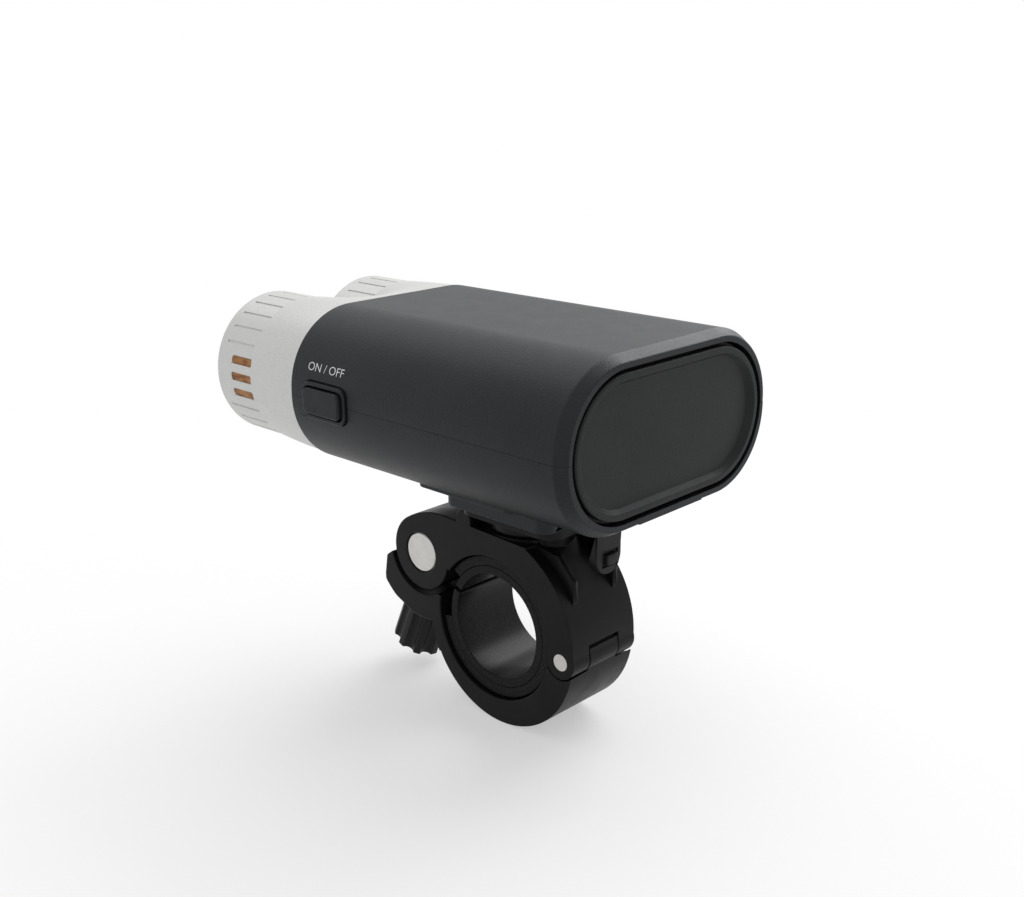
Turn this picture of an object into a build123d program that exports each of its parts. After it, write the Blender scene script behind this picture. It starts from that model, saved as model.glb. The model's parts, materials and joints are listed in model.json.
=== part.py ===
"""Twin-barrel bicycle headlight on a hinged handlebar clamp.

Origin at the centre of the handlebar bore. +X points to the rider's right along
the bar, +Y points forward along the beam, +Z points up. All sizes in millimetres.
"""
import os
from math import asin, atan, atan2, cos, degrees, radians, sin, sqrt

from build123d import *

os.makedirs("parts", exist_ok=True)

# fits
slide_gap = 0.3
running_gap = 0.05
seat_gap = 0.02

# handlebar bore and its liners
bar_radius = 12.7
inner_liner_wall = 2.1
outer_liner_wall = 2.4
liner_gap = 0.3
liner_width = 19.2
outer_liner_start_angle = 38.0
outer_liner_end_angle = 353.0
inner_liner_split = 0.9
inner_liner_split_angle = 25.0

# jaws
jaw_width = 21.4
ring_wall = 7.3
lower_wall = 5.1
lower_shift_y = -1.9
lower_shift_z = -0.6
hinge_y = -21.0
hinge_z = -1.7
hinge_pin_radius = 1.95
knuckle_radius = 4.0
knuckle_width = 9.7
knuckle_shoulder = 2.5
knuckle_lift = 0.9
boss_y = 23.9
boss_z = 12.4
boss_radius = 9.25
jaw_top_front_z = 23.85
jaw_top_rear_z = 22.7
jaw_top_rear_y = -10.9
jaw_top_front_y = 15.5
tab_gap = 1.5
tab_reach = 17.15
tab_front_y = 37.45
jaw_mouth_angle = 36.5

# swing stud, barrel pin and thumb nut
barrel_radius = 4.95
barrel_recess = 0.15
stud_radius = 2.5
stud_lean_angle = 23.6
stud_tail = 7.0
stud_slot_gap = 0.5
washer_radius = 5.0
washer_thickness = 0.9
nut_radius = 6.9
nut_length = 15.6
nut_flutes = 9
nut_flute_radius = 1.6
nut_seat = 0.3

# swivel
swivel_y = -3.0
seat_radius = 10.2
seat_top_z = 23.4
turret_radius = 9.9
turret_gap = 0.25
swivel_screw_radius = 2.0
swivel_head_radius = 3.8
swivel_head_height = 2.0
swivel_washer_radius = 6.0
swivel_washer_thickness = 0.8
swivel_nut_flats = 7.0
swivel_nut_height = 3.0
lug_length = 4.6
lug_height = 3.1
lug_depth = 4.5
lug_y = 9.0
rib_inner_x = 6.0
rib_thickness = 1.6
rib_rear_y = -22.1
rib_foot_z = 11.4
rib_height = 3.1

# bracket
plate_thickness = 2.3
plate_half_width = 15.5
plate_front_y = 6.0
plate_rear_y = -22.8
rail_neck_half = 7.0
rail_head_half = 11.0
rail_neck_height = 2.0
rail_head_height = 1.7
rail_front_y = 4.0
rail_rear_y = -22.0
stop_arm_half = 3.2
stop_arm_front_y = 10.6

# release tongue
tongue_half = 4.2
tongue_thickness = 2.4
tongue_front_y = -23.4
tongue_bottom_z = 17.7
tongue_tooth = 1.8
tongue_pin_radius = 1.0
tongue_pin_drop = 1.5
ear_thickness = 2.0

# casing
casing_height = 37.0
casing_flat = 1.4
casing_rear_y = -42.3
casing_wall = 2.6
casing_z = 53.46
rear_chamfer = 1.46
rear_chamfer_depth = 2.5
shoe_depth = 3.96
shoe_half_width = 18.7
shoe_rear_y = -24.0
shoe_front_y = 7.0
shoe_corner = 3.0
lip_half_width = 20.7
lip_thickness = 0.9
lip_front_y = 13.8
lip_rear_y = -16.2
catch_pad_half = 10.5
catch_pad_height = 0.3
screw_inset = 14.9
screw_pitch = 11.4
screw_radius = 1.3
screw_head_radius = 2.5
screw_head_height = 1.8
screw_head_recess = 1.2
screw_boss_radius = 3.6
screw_grip = 9.0

# silver bezel
barrel_web = 0.9
bezel_radius = 17.55
barrel_length = 14.5
bezel_wall = 2.7
neck_length = 17.1
spigot_length = 4.0
spigot_setback = 0.4
spigot_wall = 1.6
pocket_depth = 2.0
spigot_gap = 0.1
rib_pitch_angle = 360.0 / 27
rib_groove_width = 0.5
rib_groove_depth = 0.3
rib_groove_length = 11.3
bezel_lip_thickness = 3.0
bezel_lip_radius = 13.4
marker_slot_length = 8.0
marker_slot_height = 1.9
marker_slot_corner = 0.7
marker_slot_offset = 0.2
marker_recess = 0.35
marker_overlap = 0.2
valley_depth = 8.3

# optics
lens_thickness = 2.2
lens_dome = 1.4
lens_gap = 0.15
reflector_wall = 1.2
reflector_depth = 18.6
reflector_throat = 4.2
led_board_radius = 9.0
led_board_thickness = 1.2
led_size = 3.5
led_height = 0.8
led_dome_radius = 1.5
heat_sink_thickness = 3.0
heat_sink_fins = 5
heat_sink_fin_length = 2.4

# button
button_setback = 12.2
collar_length = 15.0
collar_height = 8.4
collar_corner = 2.4
collar_wall = 0.9
collar_proud = 0.6
collar_inset = 3.4
cap_gap = 0.35
cap_proud = 0.9
cap_corner = 1.4
cap_travel = 1.0
switch_size = 6.0
switch_height = 3.5
switch_plunger_radius = 1.7
switch_board_thickness = 1.2

# battery drawer
cap_groove = 0.9
cap_thickness = 3.8
cap_dish = 1.2
cap_lip = 2.35
cap_dish_slope = 0.9
seal_width = 1.3
seal_depth = 0.9
cell_radius = 7.25
cell_length = 50.5
cell_gap = 0.1
cell_count = 4
cell_nub_radius = 2.7
cell_nub_length = 1.2
tray_wall = 1.6
tray_gap = 0.55
tray_open_height = 2.0
contact_travel = 1.6
contact_board_thickness = 1.6
boss_gap = 0.6
contact_leaf_width = 5.0

# electronics
driver_board_length = 17.0
driver_board_thickness = 1.6
driver_board_z = 61.5
driver_post_radius = 1.8
driver_post_inset = 3.4

# sizes that follow from the ones above
jaw_bore = bar_radius + inner_liner_wall + outer_liner_wall + liner_gap
ring_radius = jaw_bore + ring_wall
jaw_half = jaw_width / 2
pin_half = jaw_half - barrel_recess
cell_pitch = 2 * cell_radius + cell_gap
cell_rear = casing_rear_y + cap_thickness + tray_wall
cell_front = cell_rear + cell_length
contact_y = cell_front + contact_travel
screw_rear_y = contact_y + contact_board_thickness + boss_gap + screw_boss_radius
screw_front_y = screw_rear_y + screw_pitch
casing_front_y = screw_front_y + screw_boss_radius + spigot_setback + spigot_length
casing_length = casing_front_y - casing_rear_y
tray_half = (cell_count - 1) * cell_pitch / 2 + cell_radius + tray_wall
tray_radius = cell_radius + tray_wall
casing_width = 2 * (tray_half + tray_gap + casing_wall)
casing_radius = (casing_height - casing_flat) / 2
casing_top = casing_height / 2
casing_bottom_z = casing_z - casing_top
inner_width = casing_width - 2 * casing_wall
inner_height = casing_height - 2 * casing_wall
inner_radius = inner_height / 2 - 0.01
screw_x = casing_width / 2 - screw_inset
driver_board_width = 2 * (screw_x - screw_boss_radius)
post_x = driver_board_width / 2 - driver_post_inset
button_y = casing_front_y - button_setback
button_z = casing_z
shoe_bottom_z = casing_bottom_z - shoe_depth
plate_top_z = shoe_bottom_z - slide_gap
plate_bottom_z = plate_top_z - plate_thickness
rail_head_z = plate_top_z + rail_neck_height
rail_top_z = rail_head_z + rail_head_height
neck_end_y = casing_front_y + neck_length
bezel_front_y = neck_end_y + barrel_length
bore_radius = bezel_radius - bezel_wall
barrel_x = bore_radius + barrel_web / 2
turret_z = seat_top_z + turret_gap
stud_y = sin(radians(stud_lean_angle))
stud_z = -cos(radians(stud_lean_angle))


def across(y):
    """Plane square to the beam at y, centred on the casing, with Z up."""
    return Plane(origin=(0, y, casing_z), x_dir=(1, 0, 0), z_dir=(0, -1, 0))


def along_bar(x):
    """Plane square to the handlebar at x, with Y to the right and Z up."""
    return Plane(origin=(x, 0, 0), x_dir=(0, 1, 0), z_dir=(1, 0, 0))


def on_stud(distance):
    """Plane square to the stud at a distance from the barrel pin's axis."""
    origin = (0, boss_y + stud_y * distance, boss_z + stud_z * distance)
    return Plane(origin=origin, x_dir=(1, 0, 0), z_dir=(0, stud_y, stud_z))


def polar(radius, angle, y=0.0, z=0.0):
    """Point at a radius and an angle in degrees, in the plane of the jaws."""
    return (y + radius * cos(radians(angle)), z + radius * sin(radians(angle)))


def save(piece, name):
    """Labels a finished piece and writes it."""
    piece.part.label = name
    export_step(piece.part, "parts/" + name + ".step")


# ring sector of the upper jaw, cut later by the bore
hinge_angle = degrees(atan2(hinge_z, hinge_y)) % 360
fan = 2 * ring_radius

# upper jaw: ring wall, flat crown, boss, knuckles, swivel seat, lugs and ribs
with BuildPart() as upper_jaw:
    with BuildSketch(along_bar(-jaw_half)):
        with BuildSketch(mode=Mode.PRIVATE) as sector:
            Circle(ring_radius)
            with BuildLine():
                Polyline(
                    (0, 0),
                    polar(fan, jaw_mouth_angle),
                    polar(fan, 90),
                    polar(fan, 135),
                    polar(fan, hinge_angle),
                    close=True,
                )
            make_face(mode=Mode.INTERSECT)
        add(sector.sketch)
        with BuildLine():
            Polyline(
                (jaw_top_rear_y, jaw_top_rear_z),
                (jaw_top_front_y, jaw_top_front_z),
                (jaw_top_front_y, 2 * ring_radius),
                (jaw_top_rear_y, 2 * ring_radius),
                close=True,
            )
        make_face(mode=Mode.SUBTRACT)
        with BuildLine():
            crown = Line((jaw_top_rear_y, jaw_top_rear_z), (jaw_top_front_y, jaw_top_front_z))
            brow_end = polar(boss_radius, 62, boss_y, boss_z)
            TangentArc(crown @ 1, brow_end, tangent=crown % 1)
            Line(brow_end, (boss_y, boss_z))
            Line((boss_y, boss_z), polar(jaw_bore, jaw_mouth_angle))
            Line(polar(jaw_bore, jaw_mouth_angle), (0, 0))
            Line((0, 0), (jaw_top_rear_y, jaw_top_rear_z))
        make_face()
        with Locations((boss_y, boss_z)):
            Circle(boss_radius)
        with Locations((hinge_y, hinge_z)):
            Circle(knuckle_radius)
    extrude(amount=jaw_width)
    with BuildSketch(Plane.XY.offset(jaw_bore)):
        with Locations((0, swivel_y)):
            Circle(seat_radius)
    extrude(amount=seat_top_z - jaw_bore)
    with BuildSketch(Plane.XY.offset(seat_top_z)):
        with Locations((0, swivel_y)):
            Circle(turret_radius + slide_gap)
    extrude(amount=jaw_bore, mode=Mode.SUBTRACT)
    for side in (-1, 1):
        with BuildSketch(along_bar(side * jaw_half - (lug_depth if side > 0 else 0))):
            with Locations((lug_y, jaw_top_front_z - 1)):
                SlotOverall(2 * (lug_height + 1), lug_length, rotation=90)
            with Locations((lug_y, jaw_top_front_z - 1 - 5)):
                Rectangle(lug_length + 2, 10, mode=Mode.SUBTRACT)
        extrude(amount=lug_depth)
        with BuildSketch(along_bar(side * rib_inner_x - (0 if side > 0 else rib_thickness))):
            with BuildLine():
                knee = polar(ring_radius + rib_height, 143)
                shoulder = polar(ring_radius + rib_height, 129)
                Line((rib_rear_y, rib_foot_z), (rib_rear_y, knee[1]))
                Line((rib_rear_y, knee[1]), shoulder)
                Line(shoulder, (jaw_top_rear_y + rib_thickness, jaw_top_rear_z))
                Line((jaw_top_rear_y + rib_thickness, jaw_top_rear_z), polar(jaw_bore + 1, 129))
                Line(polar(jaw_bore + 1, 129), polar(jaw_bore + 1, 150))
                Line(polar(jaw_bore + 1, 150), (rib_rear_y, rib_foot_z))
            make_face()
        extrude(amount=rib_thickness)
    with BuildSketch(along_bar(-jaw_half)):
        Circle(jaw_bore)
    extrude(amount=jaw_width, mode=Mode.SUBTRACT)
    with BuildSketch(along_bar(-knuckle_width / 2 - slide_gap / 2)):
        with Locations((hinge_y, hinge_z)):
            Circle(knuckle_radius + slide_gap)
            Rectangle(
                2 * knuckle_radius,
                knuckle_shoulder + knuckle_lift,
                align=(Align.MAX, Align.MIN),
            )
    extrude(amount=knuckle_width + slide_gap, mode=Mode.SUBTRACT)
    with BuildSketch(along_bar(-stud_radius - stud_slot_gap)):
        with Locations((boss_y, boss_z)):
            Circle(stud_tail + stud_slot_gap)
        with BuildLine():
            Polyline(
                (boss_y, boss_z),
                polar(2 * boss_radius, -104, boss_y, boss_z),
                polar(3 * boss_radius, -45, boss_y, boss_z),
                polar(2 * boss_radius, 48, boss_y, boss_z),
                close=True,
            )
        make_face()
    extrude(amount=2 * (stud_radius + stud_slot_gap), mode=Mode.SUBTRACT)
    with BuildSketch(along_bar(-jaw_half)):
        with Locations((boss_y, boss_z)):
            Circle(barrel_radius + running_gap)
        with Locations((hinge_y, hinge_z)):
            Circle(hinge_pin_radius + seat_gap)
    extrude(amount=jaw_width, mode=Mode.SUBTRACT)
    with Locations((0, swivel_y, 0)):
        Cylinder(
            swivel_screw_radius + running_gap,
            2 * seat_top_z,
            mode=Mode.SUBTRACT,
        )
        Cylinder(
            swivel_head_radius + slide_gap,
            jaw_bore + swivel_head_height,
            align=(Align.CENTER, Align.CENTER, Align.MIN),
            mode=Mode.SUBTRACT,
        )
    with Locations((0, swivel_y, seat_top_z)):
        Cylinder(
            swivel_washer_radius + slide_gap,
            2 * (swivel_washer_thickness - turret_gap / 2),
            mode=Mode.SUBTRACT,
        )
save(upper_jaw, "upper_jaw")

# lower jaw: eccentric ring wall, middle knuckle and forked tab below the boss
tab_seat = tab_reach - slide_gap
with BuildPart() as lower_jaw:
    with BuildSketch(along_bar(-jaw_half)):
        with BuildSketch(mode=Mode.PRIVATE) as lower_sector:
            with Locations((lower_shift_y, lower_shift_z)):
                Circle(jaw_bore + lower_wall)
            with BuildLine():
                Polyline(
                    (0, 0),
                    polar(fan, hinge_angle),
                    polar(fan, 225),
                    polar(fan, 270),
                    polar(fan, 315),
                    polar(fan, 10),
                    close=True,
                )
            make_face(mode=Mode.INTERSECT)
        add(lower_sector.sketch)
        with BuildSketch(mode=Mode.PRIVATE) as tab:
            with Locations((boss_y, boss_z)):
                Circle(tab_reach)
            with BuildLine():
                foot = (boss_y + stud_y * tab_seat, boss_z + stud_z * tab_seat)
                rear = (foot[0] + stud_z * 12, foot[1] - stud_y * 12)
                front = (foot[0] - stud_z * 12, foot[1] + stud_y * 12)
                Polyline(
                    (boss_y, boss_z),
                    polar(jaw_bore, 2),
                    rear,
                    front,
                    (tab_front_y, foot[1]),
                    (tab_front_y, boss_z - 8.9),
                    (tab_front_y - 0.8, boss_z - 3.9),
                    (tab_front_y - 2.6, boss_z - 2.6),
                    close=True,
                )
            make_face(mode=Mode.INTERSECT)
        add(tab.sketch)
        with BuildLine():
            heel = polar(jaw_bore + 4.2, -33)
            Polyline(polar(jaw_bore, 5), rear, heel, polar(jaw_bore, -33), close=True)
        make_face()
        with Locations((boss_y, boss_z)):
            Circle(boss_radius + tab_gap, mode=Mode.SUBTRACT)
        with Locations((hinge_y, hinge_z)):
            Circle(knuckle_radius)
            Rectangle(
                knuckle_radius - slide_gap, knuckle_shoulder, align=(Align.MAX, Align.MIN)
            )
        Circle(jaw_bore, mode=Mode.SUBTRACT)
    extrude(amount=jaw_width)
    for side in (-1, 1):
        start = knuckle_width / 2 if side > 0 else -jaw_half
        with BuildSketch(along_bar(start)):
            with Locations((hinge_y, hinge_z)):
                Circle(knuckle_radius + slide_gap)
            with Locations((hinge_y, hinge_z + 10)):
                Rectangle(20, 20)
        extrude(amount=jaw_half - knuckle_width / 2, mode=Mode.SUBTRACT)
    with BuildSketch(along_bar(-jaw_half)):
        with Locations((hinge_y, hinge_z)):
            Circle(hinge_pin_radius + running_gap)
    extrude(amount=jaw_width, mode=Mode.SUBTRACT)
    with BuildSketch(on_stud(boss_radius / 2)):
        Circle(stud_radius + stud_slot_gap)
        Rectangle(
            2 * (stud_radius + stud_slot_gap),
            10 * stud_radius,
            align=(Align.CENTER, Align.MAX),
        )
    extrude(amount=tab_reach, mode=Mode.SUBTRACT)
save(lower_jaw, "lower_jaw")

# steel hinge pin
with BuildPart() as hinge_pin:
    with BuildSketch(along_bar(-pin_half)):
        with Locations((hinge_y, hinge_z)):
            Circle(hinge_pin_radius)
    extrude(amount=2 * pin_half)
save(hinge_pin, "hinge_pin")


def liner(inner, outer, start, end):
    """Sketch of a split ring between two angles."""
    with BuildSketch(along_bar(-liner_width / 2)) as ring:
        Circle(outer)
        Circle(inner, mode=Mode.SUBTRACT)
        with BuildLine():
            middle = (start + end) / 2
            Polyline(
                (0, 0),
                polar(fan, start),
                polar(fan, (start + middle) / 2),
                polar(fan, middle),
                polar(fan, (end + middle) / 2),
                polar(fan, end),
                close=True,
            )
        make_face(mode=Mode.INTERSECT)
    return ring.sketch


# rubber liners, each open towards the front
outer_liner_radius = jaw_bore - liner_gap
inner_liner_radius = bar_radius + inner_liner_wall
with BuildPart() as outer_liner:
    outer_ring = liner(
        inner_liner_radius, outer_liner_radius, outer_liner_start_angle, outer_liner_end_angle
    )
    extrude(outer_ring, amount=liner_width)
save(outer_liner, "outer_liner")

split_half = degrees(inner_liner_split / 2 / bar_radius)
with BuildPart() as inner_liner:
    inner_ring = liner(
        bar_radius,
        inner_liner_radius,
        inner_liner_split_angle + split_half,
        360 + inner_liner_split_angle - split_half,
    )
    extrude(inner_ring, amount=liner_width)
save(inner_liner, "inner_liner")

# barrel pin across the boss, bored for the stud
with BuildPart() as barrel_pin:
    with BuildSketch(along_bar(-pin_half)):
        with Locations((boss_y, boss_z)):
            Circle(barrel_radius)
    extrude(amount=2 * pin_half)
    chamfer(barrel_pin.part.edges().filter_by(GeomType.CIRCLE), 0.3)
    with BuildSketch(on_stud(-barrel_radius - 1)):
        Circle(stud_radius + running_gap)
    extrude(amount=2 * (barrel_radius + 1), mode=Mode.SUBTRACT)
save(barrel_pin, "barrel_pin")

# steel washer under the thumb nut
washer_seat = tab_reach + nut_seat / 2
with BuildPart() as thrust_washer:
    with BuildSketch(on_stud(washer_seat)):
        Circle(washer_radius)
        Circle(stud_radius + running_gap, mode=Mode.SUBTRACT)
    extrude(amount=washer_thickness)
save(thrust_washer, "thrust_washer")

# fluted thumb nut with a recess for the washer
nut_top = tab_reach + nut_seat
with BuildPart() as thumb_nut:
    with BuildSketch(on_stud(nut_top)):
        Circle(nut_radius)
        with PolarLocations(nut_radius + nut_flute_radius / 3, nut_flutes):
            Circle(nut_flute_radius, mode=Mode.SUBTRACT)
    extrude(amount=nut_length)
    fillet(thumb_nut.part.faces().sort_by(Axis((0, 0, 0), (0, stud_y, stud_z)))[-1].edges(), 0.6)
    with BuildSketch(on_stud(nut_top)):
        Circle(washer_radius + slide_gap)
    washer_depth = washer_seat + washer_thickness + running_gap - nut_top
    extrude(amount=washer_depth, mode=Mode.SUBTRACT)
    with BuildSketch(on_stud(nut_top)):
        Circle(stud_radius + seat_gap)
    extrude(amount=nut_length - 1.5, mode=Mode.SUBTRACT)
save(thumb_nut, "thumb_nut")

# steel stud through the barrel pin into the thumb nut
with BuildPart() as clamp_stud:
    with BuildSketch(on_stud(-stud_tail)):
        Circle(stud_radius)
    extrude(amount=stud_tail + nut_top + nut_length - 1.5 - seat_gap)
    chamfer(clamp_stud.part.edges().filter_by(GeomType.CIRCLE), 0.4)
save(clamp_stud, "clamp_stud")

# swivel screw, spring washer and nut
screw_head_z = jaw_bore + swivel_head_height
with BuildPart() as swivel_screw:
    with Locations((0, swivel_y, screw_head_z)):
        Cylinder(
            swivel_head_radius,
            swivel_head_height - slide_gap,
            align=(Align.CENTER, Align.CENTER, Align.MAX),
        )
        Cylinder(
            swivel_screw_radius,
            rail_head_z - screw_head_z,
            align=(Align.CENTER, Align.CENTER, Align.MIN),
        )
    with BuildSketch(Plane.XY.offset(screw_head_z - swivel_head_height + slide_gap)):
        with Locations((0, swivel_y)):
            RegularPolygon(1.5, 6)
    extrude(amount=1.2, mode=Mode.SUBTRACT)
save(swivel_screw, "swivel_screw")

with BuildPart() as swivel_washer:
    with BuildSketch(Plane.XY.offset(seat_top_z + turret_gap / 2 - swivel_washer_thickness)):
        with Locations((0, swivel_y)):
            Circle(swivel_washer_radius)
            Circle(swivel_screw_radius + slide_gap, mode=Mode.SUBTRACT)
    extrude(amount=swivel_washer_thickness)
save(swivel_washer, "swivel_washer")

nut_floor_z = plate_bottom_z + 0.6
with BuildPart() as swivel_nut:
    with BuildSketch(Plane.XY.offset(nut_floor_z)):
        with Locations((0, swivel_y)):
            RegularPolygon(swivel_nut_flats / 2, 6, major_radius=False)
            Circle(swivel_screw_radius + running_gap, mode=Mode.SUBTRACT)
    extrude(amount=swivel_nut_height)
save(swivel_nut, "swivel_nut")

# bracket: turret, plate, T rail, stop arm and ears for the tongue
pivot_y = tongue_front_y - tongue_thickness / 2
pivot_z = plate_top_z - tongue_pin_drop
with BuildPart() as bracket:
    with BuildSketch(Plane.XY.offset(turret_z)):
        with Locations((0, swivel_y)):
            Circle(turret_radius)
    extrude(amount=plate_bottom_z - turret_z)
    chamfer(bracket.part.faces().sort_by(Axis.Z)[0].edges(), 0.4)
    with BuildSketch(Plane.XY.offset(turret_z)):
        with Locations((0, swivel_y)):
            Rectangle(
                2 * stop_arm_half,
                stop_arm_front_y - swivel_y,
                align=(Align.CENTER, Align.MIN),
            )
    extrude(amount=plate_bottom_z - turret_z)
    with BuildSketch(Plane.XY.offset(plate_bottom_z)):
        with Locations((0, (plate_front_y + plate_rear_y) / 2)):
            RectangleRounded(2 * plate_half_width, plate_front_y - plate_rear_y, 4)
        with Locations((0, swivel_y)):
            Rectangle(
                2 * stop_arm_half,
                stop_arm_front_y - swivel_y,
                align=(Align.CENTER, Align.MIN),
            )
        for side in (-1, 1):
            ear_x = side * (tongue_half + slide_gap + ear_thickness / 2)
            with Locations((ear_x, plate_rear_y + 3)):
                Rectangle(
                    ear_thickness,
                    plate_rear_y + 3 - (pivot_y - tongue_thickness / 2),
                    align=(Align.CENTER, Align.MAX),
                )
    extrude(amount=plate_thickness)
    with BuildSketch(Plane.XY.offset(plate_top_z)):
        with Locations((0, (rail_front_y + rail_rear_y) / 2)):
            Rectangle(2 * rail_neck_half, rail_front_y - rail_rear_y)
    extrude(amount=rail_neck_height)
    with BuildSketch(Plane.XY.offset(rail_head_z)):
        with Locations((0, (rail_front_y + rail_rear_y) / 2)):
            Rectangle(2 * rail_head_half, rail_front_y - rail_rear_y)
    extrude(amount=rail_head_height)
    with Locations((0, swivel_y, turret_z)):
        Cylinder(swivel_screw_radius + running_gap, 40, mode=Mode.SUBTRACT)
    with BuildSketch(Plane.XY.offset(nut_floor_z)):
        with Locations((0, swivel_y)):
            RegularPolygon(swivel_nut_flats / 2 + seat_gap, 6, major_radius=False)
    extrude(amount=rail_top_z - nut_floor_z, mode=Mode.SUBTRACT)
    with BuildSketch(along_bar(-plate_half_width)):
        with Locations((pivot_y, pivot_z)):
            Circle(tongue_pin_radius + seat_gap)
    extrude(amount=2 * plate_half_width, mode=Mode.SUBTRACT)
save(bracket, "bracket")

# release tongue with its tooth, finger nub and pivot bore
tongue_rear_y = tongue_front_y - tongue_thickness
with BuildPart() as release_tongue:
    with BuildSketch(Plane(origin=(0, tongue_front_y, 0), x_dir=(1, 0, 0), z_dir=(0, -1, 0))):
        with Locations((0, tongue_bottom_z + tongue_half)):
            Circle(tongue_half)
        with Locations((0, tongue_bottom_z + tongue_half)):
            Rectangle(
                2 * tongue_half,
                plate_top_z - tongue_bottom_z - tongue_half,
                align=(Align.CENTER, Align.MIN),
            )
    extrude(amount=tongue_thickness)
    with BuildSketch(along_bar(-tongue_half + 1)):
        with BuildLine():
            Polyline(
                (tongue_rear_y, plate_top_z - 1),
                (tongue_rear_y, plate_top_z + tongue_tooth),
                (tongue_rear_y + 0.8, plate_top_z + tongue_tooth),
                (shoe_rear_y - 0.45, plate_top_z),
                (shoe_rear_y - 0.45, plate_top_z - 1),
                close=True,
            )
        make_face()
    extrude(amount=2 * tongue_half - 2)
    with Locations((0.4, tongue_rear_y, tongue_bottom_z + 3.6)):
        Box(5.4, 1.2, 3.6, mode=Mode.SUBTRACT)
        Box(3.6, 1.8, 2.4)
    with BuildSketch(along_bar(-tongue_half)):
        with Locations((pivot_y, pivot_z)):
            Circle(tongue_pin_radius + running_gap)
    extrude(amount=2 * tongue_half, mode=Mode.SUBTRACT)
save(release_tongue, "release_tongue")

with BuildPart() as tongue_pin:
    pin_reach = tongue_half + slide_gap + ear_thickness
    with BuildSketch(along_bar(-pin_reach)):
        with Locations((pivot_y, pivot_z)):
            Circle(tongue_pin_radius)
    extrude(amount=2 * pin_reach)
save(tongue_pin, "tongue_pin")


def outline(y, inset, radius):
    """Casing's cross-section at y, drawn in by an inset."""
    with BuildSketch(across(y)) as section:
        RectangleRounded(casing_width - 2 * inset, casing_height - 2 * inset, radius)
    return section.sketch


def casing_body():
    """Solid outer form of the casing with its rear chamfer."""
    full = outline(casing_rear_y + rear_chamfer_depth, 0, casing_radius)
    rim = outline(casing_rear_y, rear_chamfer, casing_radius - rear_chamfer)
    extrude(full, amount=rear_chamfer_depth - casing_length)
    loft(sections=[rim.face(), full.face()])


def casing_cavity():
    """Hollows the casing from the rear rim to the front edge."""
    cavity = outline(casing_rear_y, casing_wall, inner_radius)
    extrude(cavity, amount=-casing_length, mode=Mode.SUBTRACT)


def collar_outline(x, inset, corner):
    """Rounded frame outline of the button at x, drawn in by an inset."""
    with BuildSketch(along_bar(x)) as section:
        with Locations((button_y, button_z)):
            RectangleRounded(collar_length - 2 * inset, collar_height - 2 * inset, corner)
    return section.sketch


cut_block = (2 * casing_width, 4 * casing_length, 2 * casing_height)
collar_x = -casing_width / 2 - collar_proud
collar_hole = collar_outline(collar_x, -seat_gap, collar_corner)

# lower shell: casing below the parting plane, shoe, tray ribs and screw bosses
channel_top_z = rail_top_z + slide_gap
with BuildPart() as lower_shell:
    casing_body()
    with BuildSketch(Plane.XY.offset(shoe_bottom_z)):
        with Locations((0, (shoe_front_y + shoe_rear_y) / 2)):
            RectangleRounded(2 * shoe_half_width, shoe_front_y - shoe_rear_y, shoe_corner)
    extrude(amount=shoe_depth + casing_wall / 2)
    with BuildSketch(Plane.XY.offset(casing_bottom_z + 0.2 - lip_thickness)):
        with Locations((0, (lip_front_y + lip_rear_y) / 2)):
            RectangleRounded(2 * lip_half_width, lip_front_y - lip_rear_y, 2.5)
    extrude(amount=lip_thickness + 0.6)
    casing_cavity()
    for x in (-post_x, post_x):
        with Locations((x, casing_rear_y + 6, casing_bottom_z + casing_wall - 0.5)):
            Box(
                2,
                cell_length - 6,
                casing_z - cell_radius - tray_wall - slide_gap - casing_bottom_z - casing_wall + 0.5,
                align=(Align.CENTER, Align.MIN, Align.MIN),
            )
    for x in (-screw_x, screw_x):
        for y in (screw_rear_y, screw_front_y):
            with Locations((x, y, casing_bottom_z + casing_wall / 2)):
                Cylinder(
                    screw_boss_radius,
                    casing_top - casing_wall / 2,
                    align=(Align.CENTER, Align.CENTER, Align.MIN),
                )
    with Locations((0, 0, casing_z)):
        Box(*cut_block, align=(Align.CENTER, Align.CENTER, Align.MIN), mode=Mode.SUBTRACT)
    with BuildSketch(Plane.XY.offset(shoe_bottom_z)):
        with Locations((0, rail_front_y + slide_gap)):
            Rectangle(
                2 * (rail_neck_half + slide_gap),
                rail_front_y + slide_gap - shoe_rear_y,
                align=(Align.CENTER, Align.MAX),
            )
    extrude(amount=channel_top_z - shoe_bottom_z, mode=Mode.SUBTRACT)
    with BuildSketch(Plane.XY.offset(rail_head_z - slide_gap)):
        with Locations((0, rail_front_y + slide_gap)):
            Rectangle(
                2 * (rail_head_half + slide_gap),
                rail_front_y + slide_gap - shoe_rear_y,
                align=(Align.CENTER, Align.MAX),
            )
    extrude(amount=channel_top_z - rail_head_z + slide_gap, mode=Mode.SUBTRACT)
    for x in (-screw_x, screw_x):
        for y in (screw_rear_y, screw_front_y):
            with Locations((x, y, casing_bottom_z)):
                Cylinder(screw_radius + running_gap, 2 * casing_height, mode=Mode.SUBTRACT)
                Cylinder(
                    screw_head_radius + slide_gap,
                    2 * (screw_head_height + screw_head_recess),
                    mode=Mode.SUBTRACT,
                )
    extrude(collar_hole, amount=collar_proud + 2 * collar_inset, mode=Mode.SUBTRACT)
    with BuildSketch(across(casing_rear_y)):
        with Locations((0, -casing_top + rear_chamfer - catch_pad_height)):
            Rectangle(2 * catch_pad_half, 1.2, align=(Align.CENTER, Align.MIN))
    extrude(amount=-1.2)
save(lower_shell, "lower_shell")

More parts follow.
